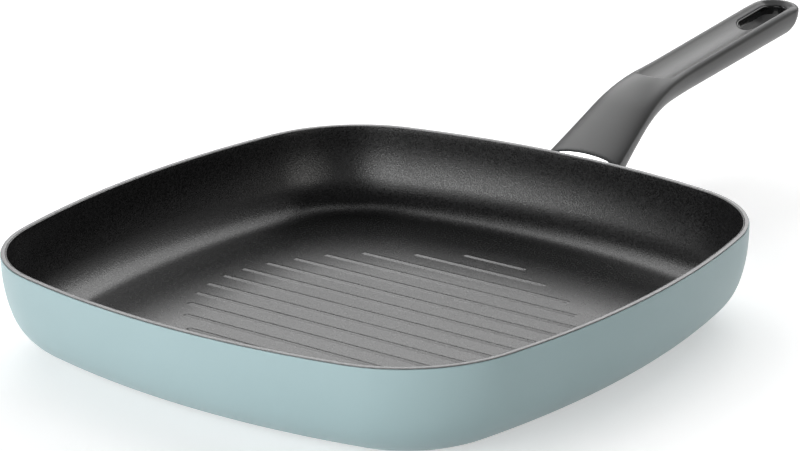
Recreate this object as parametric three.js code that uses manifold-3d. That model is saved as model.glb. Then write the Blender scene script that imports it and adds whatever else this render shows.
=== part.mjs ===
// Square grill pan: a forged vessel with grill ridges, coated inside and out, on a moulded handle.
// Millimetres, +Z up. The origin is the middle of the underside, and the handle points along +X.
import * as THREE from 'three';
import { mergeVertices } from 'three/addons/utils/BufferGeometryUtils.js';
import Module from 'manifold-3d';

const wasm = await Module();
wasm.setup();

// Vessel, seen from above: bowed sides that run into round corners
const PAN_WIDTH = 280;
const SIDE_RADIUS = 400;
const CORNER_RADIUS = 60.3;

// Vessel, seen from the side: a steep wall that bends twice into the flat base
const PAN_HEIGHT = 44.3;
const DRAFT = 2;
const FLANK_RADIUS = 66.8;
const FLANK_TURN = 15.8;
const HEEL_RADIUS = 27.8;
const WALL = 2.8;
const FLOOR = 5.8;
const FOOT_STEP = 1;

// Layers on the metal, both cut back from the bare rim
const LINING = 0.5;
const LACQUER = 0.5;
const SKIN_GAP = 0.15;
const RIM_BARE = 0.6;
const RIM_SETBACK = 0.1;
const LINING_BARE = 0.2;
const HEEL_BARE = 10;

// Grill ridges across the floor, inside a rounded field
const RIDGE_PITCH = 12.15;
const RIDGE_WIDTH = 3.8;
const RIDGE_HEIGHT = 0.4;
const RIDGE_CREST = 1.5;
const RIDGE_SHOULDER = 0.6;
const RIDGE_FIELD_X = 88;
const RIDGE_FIELD_Y = 90;
const RIDGE_FIELD_POWER = 1.75;

// Steel plate in the underside
const PLATE_MARGIN = 12;
const PLATE_THICK = 1.2;
const PLATE_GAP = 0.2;

// Handle line: a steep neck and a flatter grip, measured from the wall and up from the rim
const HANDLE_START = 16.7;
const HANDLE_END = 198.6;
const NECK_SLOPE = 27.4;
const GRIP_SLOPE = 5.8;
const BEND_REACH = 61.7;
const BEND_RISE = 15.4;
const BEND_RADIUS = 91;

// Handle section: half-width, crown above the widest line and belly below it
const NECK_LENGTH = 80;
const NECK_HALF = 19.9;
const NECK_CROWN = 3.85;
const NECK_BELLY = 24;
const GRIP_HALF = 12.5;
const GRIP_CROWN = 4.7;
const GRIP_BELLY = 12.6;
const HALF_TAPER = 1.5;
const BELLY_TAPER = 3.5;
const END_SWELL = 0.4;
const END_BELLY = 1.5;
const END_ROUND = 11;
const END_DROP = 24;
const SQUARENESS = 2.2;

// Recess along the grip and the hang hole at its end
const RECESS_START = 77.5;
const RECESS_END = 189.5;
const RECESS_LEAD = 8.6;
const RECESS_RUNOUT = 8.8;
const RECESS_WIDTH = 20.2;
const RECESS_DEPTH = 4;
const HOLE_REACH = 175.6;
const HOLE_LENGTH = 35.9;
const HOLE_WIDTH = 14.4;
const LINER_WALL = 1.2;
const LINER_DROP = 0.3;
const FIT_GAP = 0.3;

// Flame guard: a sheet sleeve that tapers from the handle to the wall
const GUARD_INSET = 1.8;
const GUARD_TUCK = 5;
const GUARD_SHEET = 1;
const GUARD_WALL_HALF = 17;
const GUARD_WALL_CROWN = 3.5;
const GUARD_WALL_BELLY = 11;

// Bracket on the wall, and the screw that holds the handle on its tongue
const TONGUE_WIDTH = 10;
const TONGUE_THICK = 4.5;
const TONGUE_LENGTH = 34;
const TONGUE_LIFT = 5.2;
const FOOT_WIDTH = 13;
const FOOT_HEIGHT = 8;
const FOOT_THICK = 3;
const SCREW_REACH = 18;
const SCREW_DIAMETER = 4;
const HEAD_DIAMETER = 7;
const HEAD_HEIGHT = 2.2;
const WASHER_DIAMETER = 8;
const WASHER_THICK = 0.8;
const SEAT_THICK = 2;

// How far a cutter runs past what it cuts
const OVERCUT = 1;

// Facet counts
const SIDE_STEPS = 4;
const CORNER_STEPS = 6;
const HEEL_STEPS = 6;
const FLANK_STEPS = 3;
const RIDGE_END_STEPS = 3;
const SECTION_STEPS = 24;
const HANDLE_STEPS = 22;
const END_STEPS = 5;
const GUARD_STEPS = 4;
const ROUND_STEPS = 20;
const RECESS_STEPS = 48;
const SEARCH_STEPS = 30;

const rad = THREE.MathUtils.degToRad;
const lerp = THREE.MathUtils.lerp;
const wallX = PAN_WIDTH / 2;

// Turn points and triangles into a closed geometry whose faces point out
function closedGeometry(points, faces) {
  let volume = 0;
  for (let i = 0; i < faces.length; i += 3) {
    const [a, b, c] = [points[faces[i]], points[faces[i + 1]], points[faces[i + 2]]];
    volume += a.dot(b.clone().cross(c));
  }
  const index = volume < 0 ? faces.slice().reverse() : faces;
  const geometry = new THREE.BufferGeometry();
  geometry.setAttribute('position', new THREE.Float32BufferAttribute(points.flatMap((p) => p.toArray()), 3));
  geometry.setIndex(index);
  return geometry;
}

// Close one end of a skin with a fan around the middle of its last ring
function addFan(points, faces, start, count, tip) {
  const middle = new THREE.Vector3();
  points.slice(start, start + count).forEach((p) => middle.addScaledVector(p, 1 / count));
  const centre = points.push(tip ?? middle) - 1;
  for (let i = 0; i < count; i += 1) {
    const next = (i + 1) % count;
    faces.push(...(start === 0 ? [start + next, start + i, centre] : [start + i, start + next, centre]));
  }
}

// Skin a list of rings of equal length: joined end to end, or closed by a fan at each end
function skin(rings, { joined = false, tip } = {}) {
  const count = rings[0].length;
  const points = rings.flat();
  const faces = [];
  const bands = joined ? rings.length : rings.length - 1;
  for (let r = 0; r < bands; r += 1) {
    const a = r * count;
    const b = ((r + 1) % rings.length) * count;
    for (let i = 0; i < count; i += 1) {
      const j = (i + 1) % count;
      faces.push(a + i, a + j, b + j, a + i, b + j, b + i);
    }
  }
  if (!joined) {
    addFan(points, faces, 0, count);
    addFan(points, faces, (rings.length - 1) * count, count, tip);
  }
  return closedGeometry(points, faces);
}

// A geometry as a solid that can be joined and cut
function solid(geometry) {
  const bare = geometry.clone();
  bare.deleteAttribute('normal');
  bare.deleteAttribute('uv');
  const merged = mergeVertices(bare);
  const mesh = new wasm.Mesh({
    numProp: 3,
    vertProperties: merged.attributes.position.array,
    triVerts: new Uint32Array(merged.index.array),
  });
  return new wasm.Manifold(mesh);
}

function geometryOf(body) {
  const { vertProperties, triVerts } = body.getMesh();
  const geometry = new THREE.BufferGeometry();
  geometry.setAttribute('position', new THREE.BufferAttribute(vertProperties, 3));
  geometry.setIndex(new THREE.BufferAttribute(triVerts, 1));
  return geometry;
}

function piece(name, geometry, color, roughness, metalness) {
  geometry.computeVertexNormals();
  const mesh = new THREE.Mesh(geometry, new THREE.MeshStandardMaterial({ color, roughness, metalness }));
  mesh.name = name;
  return mesh;
}

// Plan outline of the vessel, drawn in parallel by an inward distance, as a ring at one height
function outline(inward, z) {
  const sideCentre = PAN_WIDTH / 2 - SIDE_RADIUS;
  const spread = SIDE_RADIUS - CORNER_RADIUS;
  const corner = (sideCentre + Math.sqrt(2 * spread ** 2 - sideCentre ** 2)) / 2;
  const meet = Math.atan2(corner, corner - sideCentre);
  const ring = [];
  const up = new THREE.Vector3(0, 0, 1);
  for (let quarter = 0; quarter < 4; quarter += 1) {
    const turn = (quarter * Math.PI) / 2;
    for (let i = 0; i < SIDE_STEPS; i += 1) {
      const angle = lerp(-meet, meet, i / SIDE_STEPS);
      const r = SIDE_RADIUS - inward;
      const point = new THREE.Vector3(sideCentre + r * Math.cos(angle), r * Math.sin(angle), z);
      ring.push(point.applyAxisAngle(up, turn));
    }
    for (let i = 0; i < CORNER_STEPS; i += 1) {
      const angle = lerp(meet, Math.PI / 2 - meet, i / CORNER_STEPS);
      const r = CORNER_RADIUS - inward;
      const point = new THREE.Vector3(corner + r * Math.cos(angle), corner + r * Math.sin(angle), z);
      ring.push(point.applyAxisAngle(up, turn));
    }
  }
  return ring;
}

// Wall profile in parallel to the outside: pairs of inward distance and height, from the level
// base up to the given top. Tilt is the angle of the wall from upright.
function wallProfile(inward, base, top, baseTilt = 90) {
  const upper = rad(DRAFT);
  const lower = rad(DRAFT + FLANK_TURN);
  const heelTop = HEEL_RADIUS * (1 - Math.sin(lower)) + inward * Math.sin(lower);
  const heel = (heelTop - base) / (1 - Math.sin(lower));
  const flank = FLANK_RADIUS - inward;
  const flankRise = flank * (Math.sin(lower) - Math.sin(upper));
  const flankIn = flank * (Math.cos(upper) - Math.cos(lower));
  const straightTop = heelTop + flankRise;
  const rimIn = inward / Math.cos(upper);
  const atHeight = (z) => [rimIn + (PAN_HEIGHT - z) * Math.tan(upper), z];
  const straightIn = atHeight(straightTop)[0];
  const points = [];
  for (let i = 0; i < HEEL_STEPS; i += 1) {
    const tilt = lerp(rad(baseTilt), lower, i / HEEL_STEPS);
    const x = straightIn + flankIn + heel * (Math.cos(lower) - Math.cos(tilt));
    points.push([x, heelTop - heel * (Math.sin(tilt) - Math.sin(lower))]);
  }
  for (let i = 0; i <= FLANK_STEPS; i += 1) {
    const tilt = lerp(lower, upper, i / FLANK_STEPS);
    const x = straightIn + flank * (Math.cos(upper) - Math.cos(tilt));
    points.push([x, straightTop - flank * (Math.sin(tilt) - Math.sin(upper))]);
  }
  points.push(atHeight(top));
  return points;
}

const rings = (profile) => profile.map(([inward, z]) => outline(inward, z));

const bodySkin = LACQUER + SKIN_GAP;
const bodyLining = LINING + SKIN_GAP;
const baseEdge = wallProfile(bodySkin, bodySkin, PAN_HEIGHT)[0][0] + FOOT_STEP;
const plateEdge = baseEdge + PLATE_MARGIN;

// The space inside the outer wall, grown outwards by a distance, for trimming what meets the wall
function vesselSpace(grow) {
  const profile = wallProfile(-grow, -grow, PAN_HEIGHT + grow);
  return solid(skin(rings(profile)));
}

// One ridge: stadium rings that round over from the floor to the crest
function ridge(x, halfLength, half, crest, floor, height, sink) {
  const ring = (z, r) => {
    const points = [];
    for (let side = 0; side < 2; side += 1) {
      const sign = side === 0 ? 1 : -1;
      for (let i = 0; i <= RIDGE_END_STEPS; i += 1) {
        const angle = (Math.PI * i) / RIDGE_END_STEPS;
        const along = halfLength - half + r * Math.sin(angle);
        points.push(new THREE.Vector3(x + sign * r * Math.cos(angle), sign * along, z));
      }
    }
    return points;
  };
  const shoulderHalf = lerp(crest, half, Math.sqrt(1 - RIDGE_SHOULDER ** 2));
  return solid(skin([
    ring(floor - sink, half),
    ring(floor, half),
    ring(floor + RIDGE_SHOULDER * height, shoulderHalf),
    ring(floor + height, crest),
  ]));
}

// All ridges, drawn in from their finished shape by a distance, on a floor at the given height
function ridges(shrink, floor, sink) {
  const count = Math.floor(RIDGE_FIELD_X / RIDGE_PITCH);
  const list = [];
  for (let i = -count; i <= count; i += 1) {
    const x = i * RIDGE_PITCH;
    const share = Math.abs(x / RIDGE_FIELD_X) ** RIDGE_FIELD_POWER;
    const halfLength = RIDGE_FIELD_Y * (1 - share) ** (1 / RIDGE_FIELD_POWER) - shrink;
    const half = RIDGE_WIDTH / 2 - shrink;
    const crest = (RIDGE_CREST / 2) * (half / (RIDGE_WIDTH / 2));
    if (halfLength > RIDGE_WIDTH) list.push(ridge(x, halfLength, half, crest, floor, RIDGE_HEIGHT, sink));
  }
  return wasm.Manifold.union(list);
}

// Forged aluminium vessel: pocket for the plate, foot, wall, bare rim and ridged floor
function panBody() {
  const pocket = PLATE_THICK + PLATE_GAP;
  const underside = [
    [plateEdge - FIT_GAP, pocket],
    [plateEdge - FIT_GAP, 0],
    [baseEdge, 0],
    [baseEdge, bodySkin],
  ];
  const floor = FLOOR - bodyLining;
  const lipFoot = PAN_HEIGHT - RIM_BARE + SKIN_GAP;
  const outside = wallProfile(bodySkin, bodySkin, lipFoot);
  outside.push([RIM_SETBACK, lipFoot], [RIM_SETBACK, PAN_HEIGHT]);
  const inside = wallProfile(WALL - bodyLining, floor, PAN_HEIGHT).reverse();
  const vessel = solid(skin(rings([...underside, ...outside, ...inside])));
  return geometryOf(vessel.add(ridges(bodyLining, floor, LINING)));
}

// Non-stick layer: follows the inside wall, the floor and both sides of every ridge
function nonstickLining() {
  const top = PAN_HEIGHT - LINING_BARE;
  const under = wallProfile(WALL - LINING, FLOOR - LINING, top);
  const face = wallProfile(WALL, FLOOR, top).reverse();
  const sheet = solid(skin(rings([...under, ...face])));
  const raised = sheet.add(ridges(0, FLOOR, LINING / 2));
  return geometryOf(raised.subtract(ridges(LINING, FLOOR - LINING, LINING)));
}

// Lacquer on the outside wall, with a window where the bracket is welded on
function lacquerCoat(bracketWindow) {
  const top = PAN_HEIGHT - RIM_BARE;
  const tilt = 90 - HEEL_BARE;
  const face = wallProfile(0, 0, top, tilt);
  const under = wallProfile(LACQUER, LACQUER, top, tilt).reverse();
  return geometryOf(solid(skin(rings([...face, ...under]), { joined: true })).subtract(bracketWindow));
}

// Steel plate that fills the pocket in the underside
function basePlate() {
  return skin([outline(plateEdge, 0), outline(plateEdge, PLATE_THICK)]);
}

// Height of the handle's widest line at a distance from the wall: neck, bend and grip
function edgeHeight(s) {
  const neck = rad(NECK_SLOPE);
  const grip = rad(GRIP_SLOPE);
  const tangent = BEND_RADIUS * Math.tan((neck - grip) / 2);
  const bendStart = BEND_REACH - tangent * Math.cos(neck);
  const bendEnd = BEND_REACH + tangent * Math.cos(grip);
  const corner = PAN_HEIGHT + BEND_RISE;
  if (s < bendStart) return corner + (s - BEND_REACH) * Math.tan(neck);
  if (s > bendEnd) return corner + (s - BEND_REACH) * Math.tan(grip);
  const centreS = bendStart + BEND_RADIUS * Math.sin(neck);
  const centreZ = corner - tangent * Math.sin(neck) - BEND_RADIUS * Math.cos(neck);
  return centreZ + Math.sqrt(BEND_RADIUS ** 2 - (s - centreS) ** 2);
}

// Sizes of the handle's section at a distance from the wall
function handleSizes(s) {
  const neck = Math.max(0, 1 - (s - HANDLE_START) / NECK_LENGTH);
  const grip = Math.max(0, (s - HANDLE_START - NECK_LENGTH) / (HANDLE_END - HANDLE_START - NECK_LENGTH));
  const fade = (length) => Math.sqrt(1 - Math.max(0, 1 - (HANDLE_END - s) / length) ** 2);
  const half = GRIP_HALF + (NECK_HALF - GRIP_HALF) * neck ** HALF_TAPER + END_SWELL * grip ** 2;
  const belly = GRIP_BELLY + (NECK_BELLY - GRIP_BELLY) * neck ** BELLY_TAPER + END_BELLY * grip;
  return {
    half: half * fade(END_ROUND),
    crown: lerp(GRIP_CROWN, NECK_CROWN, neck) * fade(END_DROP),
    belly: belly * fade(END_ROUND),
  };
}

// One ring of the handle or the guard: a crowned top over an elliptical belly
function sectionRing(s, { half, crown, belly }) {
  const ring = [];
  const middle = edgeHeight(s);
  const bulge = (value, power) => Math.sign(value) * Math.abs(value) ** power;
  for (let i = 0; i < SECTION_STEPS; i += 1) {
    const angle = (2 * Math.PI * i) / SECTION_STEPS;
    const [c, d] = [Math.cos(angle), Math.sin(angle)];
    const onTop = d > 0;
    const y = half * (onTop ? bulge(c, 2 / SQUARENESS) : c);
    const z = onTop ? crown * bulge(d, 2 / SQUARENESS) : belly * d;
    ring.push(new THREE.Vector3(wallX + s, y, middle + z));
  }
  return ring;
}

const inset = (sizes, by) => ({
  half: sizes.half - by,
  crown: sizes.crown - by,
  belly: sizes.belly - by,
});

// Frames along the handle: x runs along the slope, z is square to it
function slopeFrame(s, z, slope) {
  const frame = new THREE.Matrix4().makeRotationY(-rad(slope));
  return frame.setPosition(wallX + s, 0, z);
}

const rootSizes = handleSizes(HANDLE_START);
const rootMiddle = edgeHeight(HANDLE_START) + (rootSizes.crown - rootSizes.belly) / 2;
const neckFrame = slopeFrame(HANDLE_START, rootMiddle, NECK_SLOPE);
const gripFrame = slopeFrame(HOLE_REACH, edgeHeight(HOLE_REACH), GRIP_SLOPE);

const place = (geometry, frame) => geometry.clone().applyMatrix4(frame);

function box(x0, x1, width, z0, z1) {
  return new THREE.BoxGeometry(x1 - x0, width, z1 - z0).translate((x0 + x1) / 2, 0, (z0 + z1) / 2);
}

// A round bar along local z
function bar(radius, z0, z1) {
  const cylinder = new THREE.CylinderGeometry(radius, radius, z1 - z0, ROUND_STEPS);
  return cylinder.rotateX(Math.PI / 2).translate(0, 0, (z0 + z1) / 2);
}

// An oblong bar along local z, with round ends
function oblong(length, width, z0, z1) {
  const r = width / 2;
  const reach = length / 2 - r;
  const shape = new THREE.Shape();
  shape.absarc(reach, 0, r, -Math.PI / 2, Math.PI / 2);
  shape.absarc(-reach, 0, r, Math.PI / 2, (3 * Math.PI) / 2);
  shape.closePath();
  const bar3d = new THREE.ExtrudeGeometry(shape, {
    depth: z1 - z0,
    bevelEnabled: false,
    curveSegments: ROUND_STEPS / 2,
  });
  return bar3d.translate(0, 0, z0);
}

// Levels of the fixing, square to the neck: tongue, seat under it, washer and screw head
const tongueTop = TONGUE_LIFT + TONGUE_THICK / 2;
const tongueFoot = TONGUE_LIFT - TONGUE_THICK / 2;
const seatLevel = tongueFoot - FIT_GAP - SEAT_THICK;
const washerFoot = seatLevel - FIT_GAP - WASHER_THICK;
const headTop = washerFoot - FIT_GAP;
const screwFrame = neckFrame.clone().multiply(new THREE.Matrix4().makeTranslation(SCREW_REACH, 0, 0));

// Where the tongue's line meets the wall: its height, found by stepping along the wall profile
function wallMeeting() {
  const profile = wallProfile(0, 0, PAN_HEIGHT);
  const inwardAt = (z) => {
    const k = Math.max(1, profile.findIndex((point) => point[1] >= z));
    const [a, b] = [profile[k - 1], profile[k]];
    return lerp(a[0], b[0], (z - a[1]) / (b[1] - a[1]));
  };
  const start = rootMiddle + TONGUE_LIFT / Math.cos(rad(NECK_SLOPE));
  let z = PAN_HEIGHT / 2;
  for (let i = 0; i < SEARCH_STEPS; i += 1) {
    z = start - (HANDLE_START + inwardAt(z)) * Math.tan(rad(NECK_SLOPE));
  }
  return { z, x: wallX - inwardAt(z) };
}

const meeting = wallMeeting();

// Inner end of the tongue, inside the wall, along the neck
const tongueIn = (meeting.x - wallX - HANDLE_START) / Math.cos(rad(NECK_SLOPE)) - 2 * TONGUE_THICK;

function footBlock(grow) {
  const reach = PAN_WIDTH / 4;
  const half = FOOT_HEIGHT / 2 + grow;
  const block = box(-reach, reach, FOOT_WIDTH + 2 * grow, -half, half);
  return solid(block.translate(meeting.x, 0, meeting.z));
}

// Bracket: a foot that hugs the bare wall, and a tongue up the neck with the screw's hole
function handleBracket() {
  const metal = vesselSpace(FIT_GAP - bodySkin);
  const foot = footBlock(0).intersect(vesselSpace(FOOT_THICK));
  const tongue = solid(place(box(tongueIn, TONGUE_LENGTH, TONGUE_WIDTH, tongueFoot, tongueTop), neckFrame));
  const hole = bar(SCREW_DIAMETER / 2 + FIT_GAP, tongueFoot - OVERCUT, tongueTop + OVERCUT);
  return geometryOf(foot.add(tongue).subtract(metal).subtract(solid(place(hole, screwFrame))));
}

// Loft of the guard's outside, drawn in by a distance, between two stations
function guardLoft(by, from, to) {
  const wallSizes = { half: GUARD_WALL_HALF, crown: GUARD_WALL_CROWN, belly: GUARD_WALL_BELLY };
  const handleEnd = inset(rootSizes, GUARD_INSET);
  const stations = [];
  for (let i = 0; i <= GUARD_STEPS; i += 1) {
    const s = lerp(from, to, i / GUARD_STEPS);
    const share = Math.min(1, Math.max(0, s / HANDLE_START));
    const sizes = {};
    Object.keys(wallSizes).forEach((key) => {
      sizes[key] = lerp(wallSizes[key], handleEnd[key], share);
    });
    stations.push(sectionRing(s, inset(sizes, by)));
  }
  return solid(skin(stations));
}

// Polished sleeve: open at both ends, trimmed to the wall
function flameGuard() {
  const from = meeting.x - wallX - GUARD_WALL_BELLY;
  const to = HANDLE_START + GUARD_TUCK;
  const sleeve = guardLoft(0, from, to).subtract(guardLoft(GUARD_SHEET, from - OVERCUT, to + OVERCUT));
  return geometryOf(sleeve.subtract(vesselSpace(FIT_GAP)));
}

// The handle before it is cut
function handleBlank() {
  const stations = [];
  for (let i = 0; i < HANDLE_STEPS; i += 1) {
    stations.push(lerp(HANDLE_START, HANDLE_END - END_ROUND, i / HANDLE_STEPS));
  }
  for (let i = 0; i < END_STEPS; i += 1) {
    stations.push(HANDLE_END - END_ROUND * (1 - Math.sin((Math.PI / 2) * (i / END_STEPS))));
  }
  const tip = new THREE.Vector3(wallX + HANDLE_END, 0, edgeHeight(HANDLE_END));
  return solid(skin(stations.map((s) => sectionRing(s, handleSizes(s))), { tip }));
}

// Floor of the recess, above the handle's widest line: its depth counts from the rails beside it
const railRise = (1 - (RECESS_WIDTH / 2 / GRIP_HALF) ** SQUARENESS) ** (1 / SQUARENESS);
const recessFloor = GRIP_CROWN * railRise - RECESS_DEPTH;

// A long bar with blunt round ends whose lowest part hollows out the recess, sunk by a distance
function recessCutter(sink = 0) {
  const radius = ((RECESS_WIDTH / 2) ** 2 + RECESS_DEPTH ** 2) / (2 * RECESS_DEPTH);
  const length = (RECESS_END - RECESS_START) / Math.cos(rad(GRIP_SLOPE));
  const profile = new THREE.Path();
  profile.absellipse(0, 0, radius, RECESS_LEAD, -Math.PI / 2, 0);
  profile.absellipse(0, length, radius, RECESS_RUNOUT, 0, Math.PI / 2);
  const capsule = new THREE.LatheGeometry(profile.getPoints(RECESS_STEPS / 6), RECESS_STEPS);
  const lying = capsule.rotateZ(-Math.PI / 2);
  const start = slopeFrame(RECESS_START, edgeHeight(RECESS_START), GRIP_SLOPE);
  return solid(place(lying.translate(0, 0, recessFloor + radius - sink), start));
}

const throughHole = 2 * GRIP_BELLY;

// Moulded handle: socket for the tongue, skirt over the guard, screw holes, recess and hang hole
function handleGrip() {
  const socket = box(tongueIn, TONGUE_LENGTH + FIT_GAP, TONGUE_WIDTH + 2 * FIT_GAP,
    tongueFoot - FIT_GAP, tongueTop + FIT_GAP);
  const screwHole = bar(SCREW_DIAMETER / 2 + FIT_GAP, seatLevel - OVERCUT, tongueFoot);
  const headHole = bar(WASHER_DIAMETER / 2 + FIT_GAP, seatLevel - NECK_BELLY, seatLevel);
  const hangHole = oblong(HOLE_LENGTH, HOLE_WIDTH, -throughHole, throughHole);
  const skirt = guardLoft(-FIT_GAP, HANDLE_START - OVERCUT, HANDLE_START + GUARD_TUCK + FIT_GAP);
  let handle = handleBlank().subtract(recessCutter()).subtract(skirt);
  handle = handle.subtract(solid(place(socket, neckFrame)));
  handle = handle.subtract(solid(place(screwHole, screwFrame)));
  handle = handle.subtract(solid(place(headHole, screwFrame)));
  return geometryOf(handle.subtract(solid(place(hangHole, gripFrame))));
}

// Glossy ring inside the hang hole: its top follows the recess, its foot the underside
function hangLiner() {
  const outer = oblong(HOLE_LENGTH - 2 * FIT_GAP, HOLE_WIDTH - 2 * FIT_GAP, -throughHole, throughHole);
  const bore = 2 * (FIT_GAP + LINER_WALL);
  const open = throughHole + OVERCUT;
  const inner = oblong(HOLE_LENGTH - bore, HOLE_WIDTH - bore, -open, open);
  const ring = solid(place(outer, gripFrame)).subtract(solid(place(inner, gripFrame)));
  return geometryOf(ring.intersect(handleBlank()).subtract(recessCutter(LINER_DROP)));
}

// Screw: round head below, shank up through the seat and the tongue
function handleScrew() {
  const head = solid(bar(HEAD_DIAMETER / 2, headTop - HEAD_HEIGHT, headTop));
  const shank = solid(bar(SCREW_DIAMETER / 2, headTop - HEAD_HEIGHT / 2, tongueTop));
  return place(geometryOf(head.add(shank)), screwFrame);
}

// Washer between the head and the seat
function lockWasher() {
  const ring = solid(bar(WASHER_DIAMETER / 2, washerFoot, washerFoot + WASHER_THICK));
  const hole = bar(SCREW_DIAMETER / 2 + FIT_GAP, washerFoot - OVERCUT, washerFoot + WASHER_THICK + OVERCUT);
  return place(geometryOf(ring.subtract(solid(hole))), screwFrame);
}

const vessel = new THREE.Group();
vessel.add(
  piece('pan_body', panBody(), 0xa9abad, 0.35, 0.9),
  piece('nonstick_lining', nonstickLining(), 0x2c2c2e, 0.5, 0),
  piece('lacquer_coat', lacquerCoat(footBlock(FIT_GAP)), 0xa9c9cc, 0.45, 0),
  piece('base_plate', basePlate(), 0xb4b6b8, 0.35, 0.9),
);

const handle = new THREE.Group();
handle.add(
  piece('handle_bracket', handleBracket(), 0x9b9da0, 0.4, 0.9),
  piece('flame_guard', flameGuard(), 0xe6e6e6, 0.15, 1),
  piece('handle_grip', handleGrip(), 0x6b6c6e, 0.55, 0),
  piece('hang_liner', hangLiner(), 0x121213, 0.2, 0),
  piece('handle_screw', handleScrew(), 0x9a9ca0, 0.3, 0.9),
  piece('lock_washer', lockWasher(), 0x8b8d90, 0.35, 0.9),
);

const grillPan = new THREE.Group();
grillPan.add(vessel, handle);

export default grillPan;
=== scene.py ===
import math

import bmesh
import bpy
import numpy as np
from mathutils import Matrix, Vector


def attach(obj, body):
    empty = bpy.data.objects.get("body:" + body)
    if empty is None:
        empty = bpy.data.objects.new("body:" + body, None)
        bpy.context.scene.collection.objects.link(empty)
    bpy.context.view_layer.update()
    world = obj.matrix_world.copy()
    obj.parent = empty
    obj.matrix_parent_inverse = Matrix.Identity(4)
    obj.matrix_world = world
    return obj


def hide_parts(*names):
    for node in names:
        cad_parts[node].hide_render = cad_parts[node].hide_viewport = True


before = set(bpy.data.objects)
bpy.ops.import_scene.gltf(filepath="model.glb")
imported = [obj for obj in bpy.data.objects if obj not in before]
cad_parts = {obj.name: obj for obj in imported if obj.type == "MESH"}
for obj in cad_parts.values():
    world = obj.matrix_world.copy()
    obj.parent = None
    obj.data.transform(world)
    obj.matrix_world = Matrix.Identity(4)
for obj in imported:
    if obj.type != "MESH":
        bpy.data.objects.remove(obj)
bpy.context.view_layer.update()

# The studio: a long lens from the left front, a little above the rim, over a pale paper floor. The
# strongest soft box stands low at the left, a row of them hangs behind, and two weak ones fill in.
EYE = Vector((-0.956018, -0.760868, 0.462035))
LOOK = Vector((0.74540128, 0.58389388, -0.32162846))
RIGHT = Vector((0.61239475, -0.79039752, -0.01563433))
FOCAL_WIDTHS = 3.7414175
SENSOR = 36.0

lens = bpy.data.cameras.new("studio_camera")
lens.sensor_width = SENSOR
lens.lens = FOCAL_WIDTHS * SENSOR
lens.clip_end = 20
camera = bpy.data.objects.new("studio_camera", lens)
bpy.context.scene.collection.objects.link(camera)
up = RIGHT.cross(LOOK)
camera.matrix_world = Matrix((
    (RIGHT.x, up.x, -LOOK.x, EYE.x),
    (RIGHT.y, up.y, -LOOK.y, EYE.y),
    (RIGHT.z, up.z, -LOOK.z, EYE.z),
    (0, 0, 0, 1),
))
bpy.context.scene.camera = camera
bpy.context.scene.view_settings.view_transform = "Standard"

MIDDLE = Vector((0.05, 0, 0.03))
DISTANCE = 2.6
WHITE = (1, 1, 1)
WARM = (1, 0.98, 0.95)
# name, bearing and rise in degrees, width and height in metres, power in watts, colour
SOFT_BOXES = (
    ("left_box", 171.5, 14, 2.9, 0.8, 46.5, WHITE),
    ("left_high_box", 173, 34, 1.5, 0.8, 9.0, WHITE),
    ("back_box", 23, 30, 2.7, 0.8, 23.2, WHITE),
    ("back_right_box", 8, 46, 1.5, 0.8, 12.6, WHITE),
    ("back_left_box", 68, 46, 1.5, 0.8, 15.2, WHITE),
    ("top_box", 38, 62, 1.5, 0.8, 9.4, WHITE),
    ("front_box", 268, 14, 1.5, 0.8, 9.6, WARM),
    ("right_box", 342, 34, 1.5, 1.0, 4.4, WHITE),
)
for name, bearing, rise, width, height, power, colour in SOFT_BOXES:
    lamp = bpy.data.lights.new(name, "AREA")
    lamp.shape = "RECTANGLE"
    lamp.size = width
    lamp.size_y = height
    lamp.energy = power
    lamp.color = colour
    box = bpy.data.objects.new(name, lamp)
    bpy.context.scene.collection.objects.link(box)
    a, h = math.radians(bearing), math.radians(rise)
    away = Vector((math.cos(a) * math.cos(h), math.sin(a) * math.cos(h), math.sin(h)))
    place = MIDDLE + DISTANCE * away
    box.location = place
    box.rotation_euler = (MIDDLE - place).to_track_quat("-Z", "Y").to_euler()


def seen_ray(nodes, links):
    # 1 for a ray that shows the surface itself: straight on, in a mirror or through glass
    path = nodes.new("ShaderNodeLightPath")
    either = nodes.new("ShaderNodeMath")
    either.operation = "MAXIMUM"
    links.new(path.outputs["Is Camera Ray"], either.inputs[0])
    links.new(path.outputs["Is Glossy Ray"], either.inputs[1])
    any_of = nodes.new("ShaderNodeMath")
    any_of.operation = "MAXIMUM"
    links.new(either.outputs[0], any_of.inputs[0])
    links.new(path.outputs["Is Transmission Ray"], any_of.inputs[1])
    return any_of.outputs[0]


ROOM_TINT = (0.97, 0.99, 1, 1)
ROOM_LIGHT = 0.02
# between these rises of a ray, the backdrop's strength falls from the first to the second
FALL_RISES = (0.3, 0.75)
FALL_STRENGTHS = (0.42, 0.055)
world = bpy.data.worlds.new("studio_air")
bpy.context.scene.world = world
world.use_nodes = True
nodes, links = world.node_tree.nodes, world.node_tree.links
room = nodes["Background"]
room.inputs["Color"].default_value = ROOM_TINT
room.inputs["Strength"].default_value = ROOM_LIGHT
backdrop = nodes.new("ShaderNodeBackground")
backdrop.inputs["Color"].default_value = (1, 1, 1, 1)
ray = nodes.new("ShaderNodeSeparateXYZ")
links.new(nodes.new("ShaderNodeTexCoord").outputs["Generated"], ray.inputs[0])
fall = nodes.new("ShaderNodeMapRange")
fall.inputs["From Min"].default_value, fall.inputs["From Max"].default_value = FALL_RISES
fall.inputs["To Min"].default_value, fall.inputs["To Max"].default_value = FALL_STRENGTHS
links.new(ray.outputs["Z"], fall.inputs["Value"])
links.new(fall.outputs["Result"], backdrop.inputs["Strength"])
pick = nodes.new("ShaderNodeMixShader")
links.new(seen_ray(nodes, links), pick.inputs["Fac"])
links.new(room.outputs[0], pick.inputs[1])
links.new(backdrop.outputs[0], pick.inputs[2])
links.new(pick.outputs[0], nodes["World Output"].inputs["Surface"])

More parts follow.
